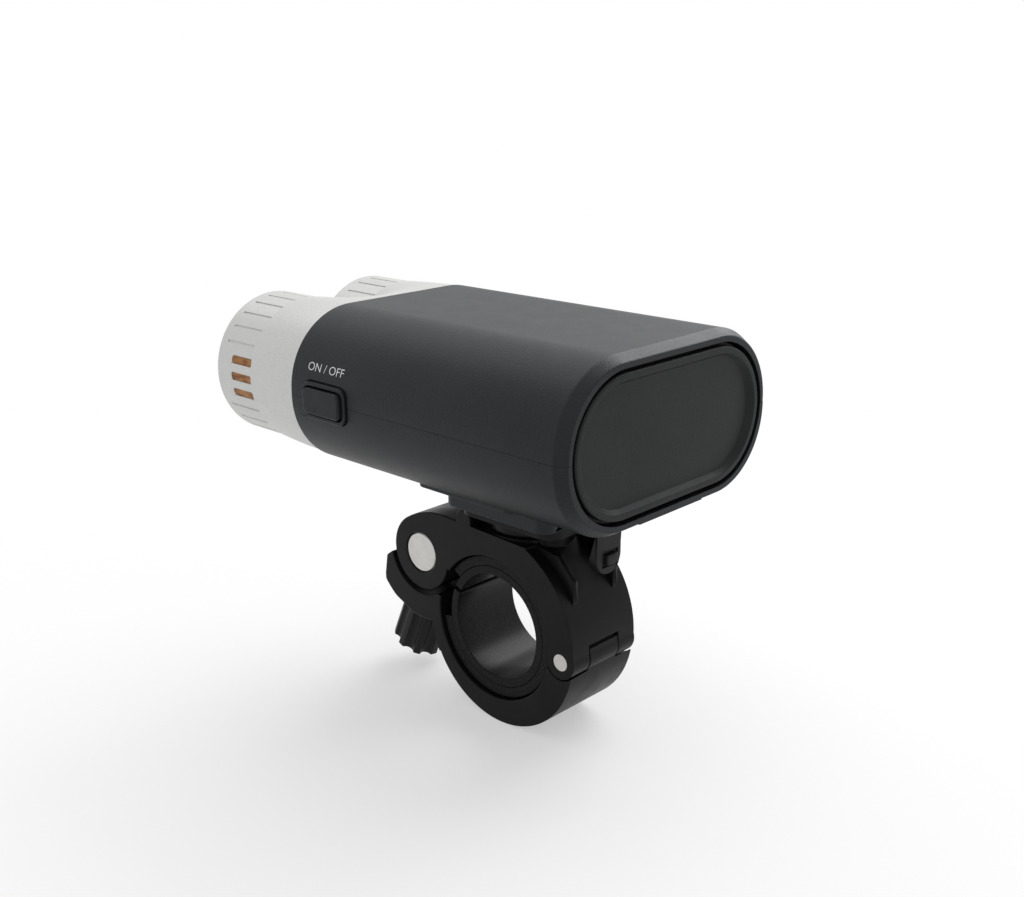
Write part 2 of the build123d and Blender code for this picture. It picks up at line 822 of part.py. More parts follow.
# upper shell: casing above the parting plane with posts for the driver board
board_top_z = driver_board_z + driver_board_thickness
with BuildPart() as upper_shell:
    casing_body()
    casing_cavity()
    for x in (-screw_x, screw_x):
        for y in (screw_rear_y, screw_front_y):
            with Locations((x, y, casing_z)):
                Cylinder(
                    screw_boss_radius,
                    casing_top - casing_wall / 2,
                    align=(Align.CENTER, Align.CENTER, Align.MIN),
                )
    for x in (-post_x, post_x):
        for y in (screw_rear_y, screw_front_y):
            with Locations((x, y, board_top_z)):
                Cylinder(
                    driver_post_radius,
                    casing_z + casing_top - casing_wall / 2 - board_top_z,
                    align=(Align.CENTER, Align.CENTER, Align.MIN),
                )
    with Locations((0, 0, casing_z)):
        Box(*cut_block, align=(Align.CENTER, Align.CENTER, Align.MAX), mode=Mode.SUBTRACT)
    for x in (-screw_x, screw_x):
        for y in (screw_rear_y, screw_front_y):
            with Locations((x, y, casing_z)):
                Cylinder(
                    screw_radius + seat_gap,
                    2 * screw_grip,
                    mode=Mode.SUBTRACT,
                )
    extrude(collar_hole, amount=collar_proud + 2 * collar_inset, mode=Mode.SUBTRACT)
save(upper_shell, "upper_shell")

# four screws from below
with BuildPart() as shell_screws:
    head_z = casing_bottom_z + screw_head_height + screw_head_recess
    for x in (-screw_x, screw_x):
        for y in (screw_rear_y, screw_front_y):
            with Locations((x, y, head_z)):
                Cylinder(
                    screw_head_radius,
                    screw_head_height,
                    align=(Align.CENTER, Align.CENTER, Align.MAX),
                )
                Cylinder(
                    screw_radius,
                    casing_z + screw_grip - 1 - head_z,
                    align=(Align.CENTER, Align.CENTER, Align.MIN),
                )
save(shell_screws, "shell_screws")


def neck_section(y, radius, reach, dip):
    """Rounded section whose top and bottom dip in the middle."""
    with BuildSketch(across(y)) as section:
        with BuildLine():
            ThreePointArc((-reach, radius), (-reach - radius, 0), (-reach, -radius))
            Spline(
                (-reach, -radius),
                (0, -radius + dip),
                (reach, -radius),
                tangents=((1, 0), (1, 0)),
            )
            ThreePointArc((reach, -radius), (reach + radius, 0), (reach, radius))
            Spline(
                (reach, radius),
                (0, radius - dip),
                (-reach, radius),
                tangents=((-1, 0), (-1, 0)),
            )
        make_face()
    return section.sketch.face()


slot_middle = neck_end_y + marker_slot_offset + marker_slot_length / 2


def marker_plane(side, k, reach):
    """Plane square to a barrel's radius, through the middle of its slot."""
    lean = radians(k * rib_pitch_angle)
    outward = Vector(side * cos(lean), 0, sin(lean))
    middle = Vector(side * barrel_x, slot_middle, casing_z)
    return Plane(origin=middle + outward * reach, x_dir=(0, 1, 0), z_dir=outward)


# silver bezel: dipping neck, two barrels, rib grooves, slots and rear spigot
neck_reach = casing_width / 2 - casing_top
lip_y = bezel_front_y - bezel_lip_thickness
with BuildPart() as front_bezel:
    steps = 4
    neck = []
    for i in range(steps + 1):
        t = i / steps
        neck.append(
            neck_section(
                casing_front_y + t * neck_length,
                casing_top - 0.1 - (casing_top - bezel_radius - 0.25) * t * t,
                neck_reach + (barrel_x - neck_reach) * t,
                0.05 + (valley_depth - 2.6) * t * t,
            )
        )
    loft(sections=neck)
    with BuildSketch(across(casing_front_y + neck_length / 2)):
        with Locations((-barrel_x, 0), (barrel_x, 0)):
            Circle(bezel_radius)
    extrude(amount=casing_front_y + neck_length / 2 - bezel_front_y)
    fillet(
        front_bezel.part.faces().sort_by(Axis.Y)[-1].edges().filter_by(GeomType.CIRCLE),
        1.1,
    )
    root = neck_section(neck_end_y - 0.1, bezel_radius - 0.1, barrel_x, valley_depth - 2.6)
    valley = neck_section(neck_end_y + 7, bezel_radius - 0.6, barrel_x, valley_depth)
    loft(sections=[root, valley])
    for side in (-1, 1):
        for k in range(-9, 10):
            if abs(k) < 2:
                continue
            angle = 90 - side * 90 + k * rib_pitch_angle
            near = bezel_radius * cos(radians(angle)) * side
            if near < -barrel_x + 3.2:
                continue
            with BuildSketch(across(neck_end_y)):
                with Locations((side * barrel_x, 0)):
                    with PolarLocations(bezel_radius, 1, start_angle=angle):
                        Rectangle(2 * rib_groove_depth, rib_groove_width)
            extrude(amount=-rib_groove_length, mode=Mode.SUBTRACT)
    with BuildSketch(across(casing_front_y)):
        with Locations((-barrel_x, 0), (barrel_x, 0)):
            Circle(bore_radius)
    extrude(amount=casing_front_y - lip_y, mode=Mode.SUBTRACT)
    with BuildSketch(across(casing_front_y)):
        with Locations((-barrel_x, 0), (barrel_x, 0)):
            Circle(bezel_lip_radius)
    extrude(amount=casing_front_y - bezel_front_y, mode=Mode.SUBTRACT)
    for side in (-1, 1):
        for k in (-1, 0, 1):
            with BuildSketch(marker_plane(side, k, 0)):
                RectangleRounded(marker_slot_length, marker_slot_height, marker_slot_corner)
            extrude(amount=bezel_radius + 1, mode=Mode.SUBTRACT)
    with BuildSketch(across(casing_front_y - spigot_length)):
        RectangleRounded(
            inner_width - 2 * spigot_gap, inner_height - 2 * spigot_gap, inner_radius - spigot_gap
        )
    extrude(amount=-spigot_length)
    with BuildSketch(across(casing_front_y - spigot_length)):
        RectangleRounded(
            inner_width - 2 * (spigot_gap + spigot_wall),
            inner_height - 2 * (spigot_gap + spigot_wall),
            inner_radius - spigot_gap - spigot_wall,
        )
    extrude(amount=-spigot_length - pocket_depth, mode=Mode.SUBTRACT)
save(front_bezel, "front_bezel")


def on_barrel(side):
    """Plane through one barrel's axis, with Y along the beam."""
    return Plane(origin=(side * barrel_x, 0, casing_z))


def beam(side):
    """Axis of one barrel."""
    return Axis((side * barrel_x, 0, casing_z), (0, 1, 0))


def glass(side):
    """Round lens with a shallow dome, held behind the barrel's lip."""
    radius = bore_radius - lens_gap
    front = lip_y - seat_gap
    dome = bezel_lip_radius - slide_gap
    with BuildSketch(on_barrel(side)) as profile:
        with BuildLine():
            Polyline(
                (0, front + lens_dome),
                (0, front - lens_thickness),
                (radius, front - lens_thickness),
                (radius, front),
                (dome, front),
            )
            bend = (dome**2 + lens_dome**2) / (2 * lens_dome)
            sweep_angle = degrees(asin(dome / bend))
            CenterArc((0, front + lens_dome - bend), bend, 90 - sweep_angle, sweep_angle)
        make_face()
    return profile.sketch


lens_rear = lip_y - seat_gap - lens_thickness
reflector_front = lens_rear - seat_gap
reflector_back = reflector_front - reflector_depth
bowl_radius = bore_radius - 2.55
flange_thickness = 0.75


def bowl(y):
    """Inner radius of the reflector at y, on a parabola."""
    share = (y - reflector_back) / reflector_depth
    return sqrt(reflector_throat**2 + (bowl_radius**2 - reflector_throat**2) * share)


def reflector(side):
    """Profile of the bowl with its front flange."""
    stations = [reflector_back + reflector_depth * t for t in (0, 0.12, 0.35, 0.65, 1)]
    inner = [(bowl(y), y) for y in stations]
    outer = [(bowl(y) + reflector_wall, y) for y in stations[:-1]]
    shelf = reflector_front - flange_thickness
    rim = bowl(shelf) + reflector_wall
    flange = bore_radius - lens_gap
    with BuildSketch(on_barrel(side)) as profile:
        with BuildLine():
            Spline(*inner)
            Line(inner[-1], (flange, reflector_front))
            Line((flange, reflector_front), (flange, shelf))
            Line((flange, shelf), (rim, shelf))
            Spline(*outer, (rim, shelf))
            Line(outer[0], inner[0])
        make_face()
    return profile.sketch


# heat sink plate behind both lamps, with fins towards the driver
board_front = reflector_back - seat_gap - led_height / 2
board_back = board_front - led_board_thickness
sink_front = casing_front_y + pocket_depth - seat_gap
sink_back = sink_front - heat_sink_thickness
with BuildPart() as heat_sink:
    with BuildSketch(across(sink_back)):
        RectangleRounded(
            inner_width - 2 * (spigot_gap + spigot_wall + running_gap),
            inner_height - 2 * (spigot_gap + spigot_wall + running_gap),
            inner_radius - spigot_gap - spigot_wall - running_gap,
        )
    extrude(amount=-heat_sink_thickness)
    with BuildSketch(across(sink_front)):
        with Locations((-barrel_x, 0), (barrel_x, 0)):
            Circle(led_board_radius + 1)
    extrude(amount=sink_front - board_back)
    with BuildSketch(across(sink_back)):
        with GridLocations(barrel_x / 2, 1, heat_sink_fins, 1):
            Rectangle(1.2, 14)
    extrude(amount=heat_sink_fin_length)
save(heat_sink, "heat_sink")

for side, name in ((-1, "left"), (1, "right")):
    with BuildPart() as lens:
        revolve(glass(side), axis=beam(side))
    save(lens, "lens_" + name)

    with BuildPart() as dish:
        revolve(reflector(side), axis=beam(side))
    save(dish, "reflector_" + name)

    with BuildPart() as led_board:
        with BuildSketch(across(board_back)):
            with Locations((side * barrel_x, 0)):
                Circle(led_board_radius)
                with PolarLocations(led_board_radius, 6, start_angle=30):
                    Circle(1.4, mode=Mode.SUBTRACT)
        extrude(amount=-led_board_thickness)
    save(led_board, "led_board_" + name)

    with BuildPart() as led:
        with Locations((side * barrel_x, board_front, casing_z)):
            Box(led_size, led_height, led_size, align=(Align.CENTER, Align.MIN, Align.CENTER))
        with Locations((side * barrel_x, board_front + led_height, casing_z)):
            Sphere(led_dome_radius)
        with BuildSketch(across(board_front - 10)):
            with Locations((side * barrel_x, 0)):
                Circle(led_size)
        extrude(amount=-10, mode=Mode.SUBTRACT)
    save(led, "led_" + name)

    # amber insert: curved plate inside the barrel with a tooth in each slot
    with BuildPart() as marker:
        with BuildSketch(across(slot_middle - marker_slot_length / 2 - marker_overlap)):
            with Locations((side * barrel_x, 0)):
                Circle(bore_radius - running_gap)
                Circle(bore_radius - running_gap - 0.9, mode=Mode.SUBTRACT)
            with BuildLine():
                spread = 1.75 * rib_pitch_angle
                reach = 2 * bore_radius
                facing = 90 - 90 * side
                Polyline(
                    (side * barrel_x, 0),
                    polar(reach, facing - spread, side * barrel_x),
                    polar(reach, facing, side * barrel_x),
                    polar(reach, facing + spread, side * barrel_x),
                    close=True,
                )
            make_face(mode=Mode.INTERSECT)
        extrude(amount=-marker_slot_length - 2 * marker_overlap)
        for k in (-1, 0, 1):
            tooth = bezel_radius - marker_recess
            start = bore_radius - running_gap - 0.5
            with BuildSketch(marker_plane(side, k, start)):
                RectangleRounded(
                    marker_slot_length - 2 * running_gap,
                    marker_slot_height - 2 * running_gap,
                    marker_slot_corner - running_gap,
                )
            extrude(amount=tooth - start)
    save(marker, "side_marker_" + name)

# raised frame around the button
with BuildPart() as button_collar:
    extrude(collar_outline(collar_x, 0, collar_corner), amount=collar_proud + collar_inset)
    fillet(button_collar.part.faces().sort_by(Axis.X)[0].edges(), 0.3)
    extrude(
        collar_outline(collar_x, collar_wall, collar_corner - collar_wall),
        amount=collar_proud + collar_inset,
        mode=Mode.SUBTRACT,
    )
save(button_collar, "button_collar")

# rubber-topped button cap with its retaining flange
cap_x = collar_x - cap_proud
collar_end = collar_x + collar_proud + collar_inset
flange_x = collar_end + slide_gap
with BuildPart() as button_cap:
    extrude(
        collar_outline(cap_x, collar_wall + cap_gap, cap_corner),
        amount=flange_x + 0.8 - cap_x,
    )
    fillet(button_cap.part.faces().sort_by(Axis.X)[0].edges(), 0.55)
    extrude(collar_outline(flange_x, 0.4, cap_corner), amount=0.8)
save(button_cap, "button_cap")

# tact switch on its small board behind the cap
switch_board_x = -screw_x - screw_boss_radius - seat_gap - switch_board_thickness
switch_x = switch_board_x - switch_height
plunger_x = switch_x - 0.8
with BuildPart() as tact_switch:
    with BuildSketch(along_bar(plunger_x)):
        with Locations((button_y, button_z)):
            Circle(switch_plunger_radius)
    extrude(amount=0.8)
    with BuildSketch(along_bar(switch_x)):
        with Locations((button_y, button_z)):
            Rectangle(switch_size, switch_size)
    extrude(amount=switch_height)
save(tact_switch, "tact_switch")

with BuildPart() as switch_board:
    with BuildSketch(along_bar(switch_board_x)):
        with Locations(((screw_rear_y + screw_front_y) / 2, button_z)):
            Rectangle(screw_front_y - screw_rear_y + 2, 12)
    extrude(amount=switch_board_thickness)
save(switch_board, "switch_board")

# driver board hung from the upper shell, with its parts below
driver_y = (screw_rear_y + screw_front_y) / 2
with BuildPart() as driver_board:
    with BuildSketch(Plane.XY.offset(driver_board_z)):
        with Locations((0, driver_y)):
            Rectangle(driver_board_width, driver_board_length)
    extrude(amount=driver_board_thickness)
save(driver_board, "driver_board")

with BuildPart() as driver_parts:
    with BuildSketch(Plane.XY.offset(driver_board_z)):
        with Locations((-9.5, driver_y)):
            Rectangle(8, 8)
        with Locations((9, driver_y - 4), (9, driver_y + 4)):
            Circle(3.2)
        with Locations((1, driver_y + 5)):
            Rectangle(4, 3)
    extrude(amount=-2)
    with BuildSketch(Plane.XY.offset(driver_board_z - 2)):
        with Locations((9, driver_y - 4), (9, driver_y + 4)):
            Circle(3.2)
    extrude(amount=-4.5)
    with BuildSketch(Plane.XY.offset(driver_board_z)):
        with Locations((-1, driver_y - 4)):
            Circle(4)
    extrude(amount=-4)
save(driver_parts, "driver_parts")

# rear cap: rimmed panel with a sloped dish and a groove for its seal
dish_taper = degrees(atan(cap_dish_slope / cap_dish))
seal_y = casing_rear_y + cap_thickness - 0.5 - seal_width


def panel(y, inset):
    """Rear opening's outline at y, drawn in by an inset."""
    with BuildSketch(across(y)) as section:
        RectangleRounded(
            inner_width - 2 * inset, inner_height - 2 * inset, inner_radius - inset
        )
    return section.sketch


with BuildPart() as rear_cap:
    extrude(panel(casing_rear_y, cap_groove), amount=-cap_thickness)
    fillet(rear_cap.part.faces().sort_by(Axis.Y)[0].edges(), 0.5)
    extrude(
        panel(casing_rear_y, cap_groove + cap_lip - cap_dish_slope),
        amount=-cap_dish,
        taper=dish_taper,
        mode=Mode.SUBTRACT,
    )
    extrude(panel(seal_y, -1), amount=-seal_width, mode=Mode.SUBTRACT)
    extrude(panel(seal_y, cap_groove + seal_depth), amount=-seal_width)
save(rear_cap, "rear_cap")

with BuildPart() as cap_seal:
    extrude(panel(seal_y, slide_gap), amount=-seal_width)
    extrude(panel(seal_y, cap_groove + seal_depth), amount=-seal_width, mode=Mode.SUBTRACT)
save(cap_seal, "cap_seal")

# battery tray: open trough on the rear cap, with a bore for each cell
tray_rear = casing_rear_y + cap_thickness
cell_xs = [(i - (cell_count - 1) / 2) * cell_pitch for i in range(cell_count)]
with BuildPart() as battery_tray:
    with BuildSketch(across(tray_rear)):
        RectangleRounded(2 * tray_half, 2 * tray_radius, tray_radius - 0.01)
    extrude(amount=tray_rear - cell_front + 0.5)
    for x in cell_xs:
        with BuildSketch(across(cell_rear - running_gap)):
            with Locations((x, 0)):
                Circle(cell_radius + 2 * running_gap)
        extrude(amount=-cell_length, mode=Mode.SUBTRACT)
    with Locations((0, cell_rear + 1, casing_z + tray_open_height)):
        Box(
            2 * tray_half + 2,
            cell_length + 2,
            tray_radius,
            align=(Align.CENTER, Align.MIN, Align.MIN),
            mode=Mode.SUBTRACT,
        )
save(battery_tray, "battery_tray")

# four cells, alternately forwards and backwards
for i, x in enumerate(cell_xs):
    forward = i % 2 == 0
    can_start = cell_rear if forward else cell_rear + cell_nub_length
    nub_start = cell_front - cell_nub_length if forward else cell_rear
    with BuildPart() as cell:
        with BuildSketch(across(can_start)):
            with Locations((x, 0)):
                Circle(cell_radius)
        extrude(amount=-cell_length + cell_nub_length)
        fillet(cell.part.edges().filter_by(GeomType.CIRCLE), 0.4)
        with BuildSketch(across(nub_start)):
            with Locations((x, 0)):
                Circle(cell_nub_radius)
        extrude(amount=-cell_nub_length)
    save(cell, "cell_" + str(i + 1))

# bulkhead board with a bent leaf for each cell
with BuildPart() as contact_board:
    extrude(panel(contact_y, running_gap), amount=-contact_board_thickness)
    with Locations((0, contact_y, casing_z + inner_height / 2 - 5)):
        Box(*cut_block, align=(Align.CENTER, Align.CENTER, Align.MIN), mode=Mode.SUBTRACT)
save(contact_board, "contact_board")

with BuildPart() as contact_leaves:
    for x in cell_xs:
        with BuildSketch(along_bar(x - contact_leaf_width / 2)):
            with BuildLine():
                Polyline(
                    (contact_y, casing_z + 6),
                    (contact_y - 0.4, casing_z + 6),
                    (contact_y - contact_travel + slide_gap, casing_z + 1),
                    (contact_y - contact_travel + slide_gap, casing_z - 1),
                    (contact_y - 0.4, casing_z - 6),
                    (contact_y, casing_z - 6),
                    (contact_y, casing_z - 4.6),
                    (contact_y - contact_travel + slide_gap + 0.5, casing_z - 0.7),
                    (contact_y - contact_travel + slide_gap + 0.5, casing_z + 0.7),
                    (contact_y, casing_z + 4.6),
                    close=True,
                )
            make_face()
        extrude(amount=contact_leaf_width)
save(contact_leaves, "contact_leaves")
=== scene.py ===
"""Bicycle headlight with a hinged handlebar clamp, dressed over its solids.

Metres, +X to the rider's right, +Y forward along the beam, +Z up. The origin is on the
handlebar's axis.
"""
import json
from math import cos, pi, radians, sin

import bmesh
import bpy
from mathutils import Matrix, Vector

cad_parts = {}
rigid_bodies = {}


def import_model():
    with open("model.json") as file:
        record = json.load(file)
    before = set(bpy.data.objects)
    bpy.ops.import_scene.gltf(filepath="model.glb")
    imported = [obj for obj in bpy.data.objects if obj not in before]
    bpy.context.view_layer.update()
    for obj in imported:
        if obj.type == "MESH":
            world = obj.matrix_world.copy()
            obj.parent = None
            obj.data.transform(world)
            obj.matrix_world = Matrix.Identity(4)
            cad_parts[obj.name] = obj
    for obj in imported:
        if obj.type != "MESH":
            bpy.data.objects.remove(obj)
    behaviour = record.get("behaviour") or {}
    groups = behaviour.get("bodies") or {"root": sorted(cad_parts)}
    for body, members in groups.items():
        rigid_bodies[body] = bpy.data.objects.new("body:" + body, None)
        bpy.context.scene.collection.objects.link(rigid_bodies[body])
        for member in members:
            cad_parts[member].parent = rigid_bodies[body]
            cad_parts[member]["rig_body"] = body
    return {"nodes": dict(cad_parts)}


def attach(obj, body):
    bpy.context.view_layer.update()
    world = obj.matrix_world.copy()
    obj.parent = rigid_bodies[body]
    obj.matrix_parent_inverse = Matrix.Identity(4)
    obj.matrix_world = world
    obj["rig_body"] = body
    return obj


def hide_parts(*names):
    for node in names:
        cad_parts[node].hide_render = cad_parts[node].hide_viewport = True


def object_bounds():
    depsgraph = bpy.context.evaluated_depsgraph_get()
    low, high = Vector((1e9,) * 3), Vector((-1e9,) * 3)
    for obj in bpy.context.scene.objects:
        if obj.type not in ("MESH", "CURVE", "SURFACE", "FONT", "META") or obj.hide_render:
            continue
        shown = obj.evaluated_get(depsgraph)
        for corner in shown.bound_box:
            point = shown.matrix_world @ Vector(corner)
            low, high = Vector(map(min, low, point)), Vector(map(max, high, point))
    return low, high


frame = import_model()
cad_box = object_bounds()
nodes = frame["nodes"]

# The camera stands behind the rider's left hand, about 0.3 m away, and looks forward and a
# little down at the light's rear and left side.
camera = bpy.data.objects.new("camera", bpy.data.cameras.new("camera"))
bpy.context.scene.collection.objects.link(camera)
camera.location = (-0.20049, -0.18970, 0.12568)
camera.rotation_euler = (radians(72.970), radians(0.442), radians(-46.211))
camera.data.sensor_width = 36
camera.data.lens = 44.558
camera.data.clip_start = 0.01
bpy.context.scene.camera = camera


# The two jaws of the clamp are moulded in black glass-filled nylon, with a fine grain and
# edges that are rounded by a few tenths of a millimetre.
def look(name, roughness, metallic=0.0):
    """New material with its shader, and the object's own coordinates in metres."""
    material = bpy.data.materials.new(name)
    material.use_nodes = True
    tree = material.node_tree
    shader = tree.nodes["Principled BSDF"]
    shader.inputs["Roughness"].default_value = roughness
    shader.inputs["Metallic"].default_value = metallic
    place = tree.nodes.new("ShaderNodeTexCoord").outputs["Object"]
    return material, tree, shader, place


def speckle(tree, place, size, detail=3.0, stretch=(1, 1, 1)):
    """Noise whose features are about size metres across."""
    scaled = tree.nodes.new("ShaderNodeMapping")
    scaled.inputs["Scale"].default_value = stretch
    tree.links.new(place, scaled.inputs["Vector"])
    noise = tree.nodes.new("ShaderNodeTexNoise")
    noise.inputs["Scale"].default_value = 1 / size
    noise.inputs["Detail"].default_value = detail
    tree.links.new(scaled.outputs["Vector"], noise.inputs["Vector"])
    return noise.outputs["Fac"]


def between(tree, amount, low, high, start=0.3, end=0.7):
    """Colour or number that runs from low to high as the amount goes from start to end."""
    if isinstance(low, tuple):
        ramp = tree.nodes.new("ShaderNodeValToRGB")
        ramp.color_ramp.elements[0].position = start
        ramp.color_ramp.elements[0].color = (*low, 1)
        ramp.color_ramp.elements[1].position = end
        ramp.color_ramp.elements[1].color = (*high, 1)
        tree.links.new(amount, ramp.inputs["Fac"])
        return ramp.outputs["Color"]
    span = tree.nodes.new("ShaderNodeMapRange")
    span.inputs["From Min"].default_value = start
    span.inputs["From Max"].default_value = end
    span.inputs["To Min"].default_value = low
    span.inputs["To Max"].default_value = high
    tree.links.new(amount, span.inputs["Value"])
    return span.outputs["Result"]


def relief(tree, shader, height, depth, strength=1.0):
    """Bumps the surface by a height pattern, depth in metres."""
    bump = tree.nodes.new("ShaderNodeBump")
    bump.inputs["Strength"].default_value = strength
    bump.inputs["Distance"].default_value = depth
    tree.links.new(height, bump.inputs["Height"])
    tree.links.new(bump.outputs["Normal"], shader.inputs["Normal"])


def moulded(name, dark, light, roughness, grain, depth, shine=0.2):
    """Moulded plastic or rubber: cloudy colour, uneven gloss and a fine grain."""
    material, tree, shader, place = look(name, roughness)
    shader.inputs["Specular IOR Level"].default_value = shine
    cloud = speckle(tree, place, size=0.012)
    tree.links.new(between(tree, cloud, dark, light), shader.inputs["Base Color"])
    gloss = speckle(tree, place, size=0.004)
    tree.links.new(
        between(tree, gloss, roughness - 0.05, roughness + 0.06),
        shader.inputs["Roughness"],
    )
    relief(tree, shader, speckle(tree, place, size=grain, detail=2.0), depth)
    return material


def dress(node, material):
    """Gives a node or piece its one material."""
    thing = nodes[node] if isinstance(node, str) else node
    thing.data.materials.clear()
    thing.data.materials.append(material)


def leader(table, edge):
    """First edge of the run that an edge belongs to."""
    while table[edge] is not edge:
        edge = table[edge]
    return edge


sharp_angle = radians(26)
run_angle = radians(25)
least_bend = 0.02
room_share = 0.4
thin_share = 0.7
rim_share = 0.8


def rounding(form, radius, fine):
    """Width of rounding on each sharp edge: even along a run, less where room is short."""
    sharp = [
        e for e in form.edges
        if len(e.link_faces) == 2 and e.calc_face_angle() > sharp_angle
    ]
    runs = {e: e for e in sharp}
    chains = {e: e for e in sharp}
    bends = []
    for vert in form.verts:
        near = [e for e in vert.link_edges if e in runs]
        for i, one in enumerate(near):
            for two in near[:i]:
                back = vert.co - one.other_vert(vert).co
                bend = back.angle(two.other_vert(vert).co - vert.co, 0.0)
                bends.append((one, two, bend))
                if bend < run_angle:
                    chains[leader(chains, one)] = leader(chains, two)
                    if len(near) == 2:
                        runs[leader(runs, one)] = leader(runs, two)
    length = {}
    room = {}
    for edge in sharp:
        first = leader(runs, edge)
        length[first] = length.get(first, 0.0) + edge.calc_length()
        middle = (edge.verts[0].co + edge.verts[1].co) / 2
        first = leader(chains, edge)
        wanted = radius * (fine(middle) if fine else 1.0)
        room[first] = min(room.get(first, 1.0), wanted)
    for face in form.faces:
        rim = [e for e in face.edges if e in runs]
        if sum(e.calc_length() for e in rim) > rim_share * face.calc_perimeter():
            narrow = thin_share * face.calc_area() / face.calc_perimeter()
            for edge in rim:
                first = leader(chains, edge)
                room[first] = min(room[first], narrow)
    for one, two, bend in bends:
        if bend < run_angle:
            span = one.calc_length() + two.calc_length()
            free = room_share * span / 2 / max(bend, least_bend)
        else:
            free = min(length[leader(runs, one)], length[leader(runs, two)])
            free *= room_share * (sin(bend) if bend < pi / 2 else 1.0)
        for edge in (one, two):
            first = leader(chains, edge)
            room[first] = min(room[first], free)
    return {edge: room[leader(chains, edge)] for edge in sharp}


weld_distance = 8e-6
flat_angle = radians(0.4)
least_width = 0.00003


def eased(node, radius, material, fine=None):
    """Stands for a node with the same form, its sharp edges rounded off."""
    source = nodes[node]
    mesh = bpy.data.meshes.new(node + "_eased")
    form = bmesh.new()
    form.from_mesh(source.data)
    bmesh.ops.remove_doubles(form, verts=form.verts, dist=weld_distance)
    bmesh.ops.dissolve_limit(
        form, angle_limit=flat_angle, verts=form.verts, edges=form.edges
    )
    weight = form.edges.layers.float.new("bevel_weight_edge")
    for face in form.faces:
        face.smooth = True
    for edge, width in rounding(form, radius, fine).items():
        edge.smooth = width > least_width
        edge[weight] = width / radius if edge.smooth else 0.0
    form.to_mesh(mesh)
    form.free()
    piece = bpy.data.objects.new(node + "_eased", mesh)
    bpy.context.scene.collection.objects.link(piece)
    bevel = piece.modifiers.new("edges", "BEVEL")
    bevel.width = radius
    bevel.segments = 2
    bevel.limit_method = "WEIGHT"
    bevel.use_clamp_overlap = False
    flats = piece.modifiers.new("flats", "WEIGHTED_NORMAL")
    flats.weight = 100
    flats.keep_sharp = True
    dress(piece, material)
    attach(piece, source["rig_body"])
    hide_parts(node)
    return piece


nylon = moulded(
    "clamp_nylon",
    dark=(0.0045, 0.0045, 0.0045),
    light=(0.0080, 0.0080, 0.0078),
    roughness=0.37,
    grain=0.00035,
    depth=0.00002,
    shine=0.12,
)
for jaw in ("upper_jaw", "lower_jaw"):
    eased(jaw, 0.00035, nylon)


# The hinge pin and the barrel pin are turned from bright aluminium rod, faced off flat with
# fine turning marks round the middle.
def turned(name, colour, roughness, axis_y, axis_z):
    """Bright metal with fine turning rings about an axis along the bar."""
    material, tree, shader, place = look(name, roughness, metallic=1.0)
    moved = tree.nodes.new("ShaderNodeMapping")
    moved.inputs["Location"].default_value = (0, -axis_y, -axis_z)
    tree.links.new(place, moved.inputs["Vector"])
    rings = tree.nodes.new("ShaderNodeTexWave")
    rings.wave_type = "RINGS"
    rings.rings_direction = "X"
    rings.inputs["Scale"].default_value = 1100
    rings.inputs["Distortion"].default_value = 0.6
    tree.links.new(moved.outputs["Vector"], rings.inputs["Vector"])
    worn = tuple(c * 0.9 for c in colour)
    tree.links.new(
        between(tree, speckle(tree, place, size=0.002), worn, colour),
        shader.inputs["Base Color"],
    )
    relief(tree, shader, rings.outputs["Fac"], depth=0.000004, strength=0.6)
    return material


hinge_metal = turned(
    "hinge_pin_metal", (0.64, 0.63, 0.61), roughness=0.42, axis_y=-0.0210, axis_z=-0.0017
)
barrel_metal = turned(
    "barrel_pin_metal", (0.60, 0.59, 0.57), roughness=0.42, axis_y=0.0239, axis_z=0.0124
)
dress("hinge_pin", hinge_metal)
dress("barrel_pin", barrel_metal)


# Two rubber shims line the bore. Their cut ends are rough and granular, and the inner face
# that grips the bar is smooth with a soft sheen.
def shim_rubber(name):
    """Dull rubber, rough on its cut ends and smooth where it meets the bar."""
    material, tree, shader, place = look(name, roughness=0.6)
    shader.inputs["Specular IOR Level"].default_value = 0.15
    normal = tree.nodes.new("ShaderNodeNewGeometry").outputs["Normal"]
    split = tree.nodes.new("ShaderNodeSeparateXYZ")
    tree.links.new(normal, split.inputs["Vector"])
    facing = tree.nodes.new("ShaderNodeMath")
    facing.operation = "ABSOLUTE"
    tree.links.new(split.outputs["X"], facing.inputs[0])
    cut_end = facing.outputs["Value"]
    crumbs = speckle(tree, place, size=0.0005, detail=4.0)
    tree.links.new(
        between(tree, crumbs, (0.004,) * 3, (0.020,) * 3, start=0.35, end=0.75),
        shader.inputs["Base Color"],
    )
    tree.links.new(
        between(tree, cut_end, 0.30, 0.66, start=0.4, end=0.9), shader.inputs["Roughness"]
    )
    rough = tree.nodes.new("ShaderNodeMath")
    rough.operation = "MULTIPLY"
    tree.links.new(crumbs, rough.inputs[0])
    tree.links.new(between(tree, cut_end, 0.12, 1.0, start=0.4, end=0.9), rough.inputs[1])
    relief(tree, shader, rough.outputs["Value"], depth=0.00012)
    return material


for shim in ("outer", "inner"):
    rubber = shim_rubber(shim + "_shim_rubber")
    eased(shim + "_liner", 0.0003, rubber)


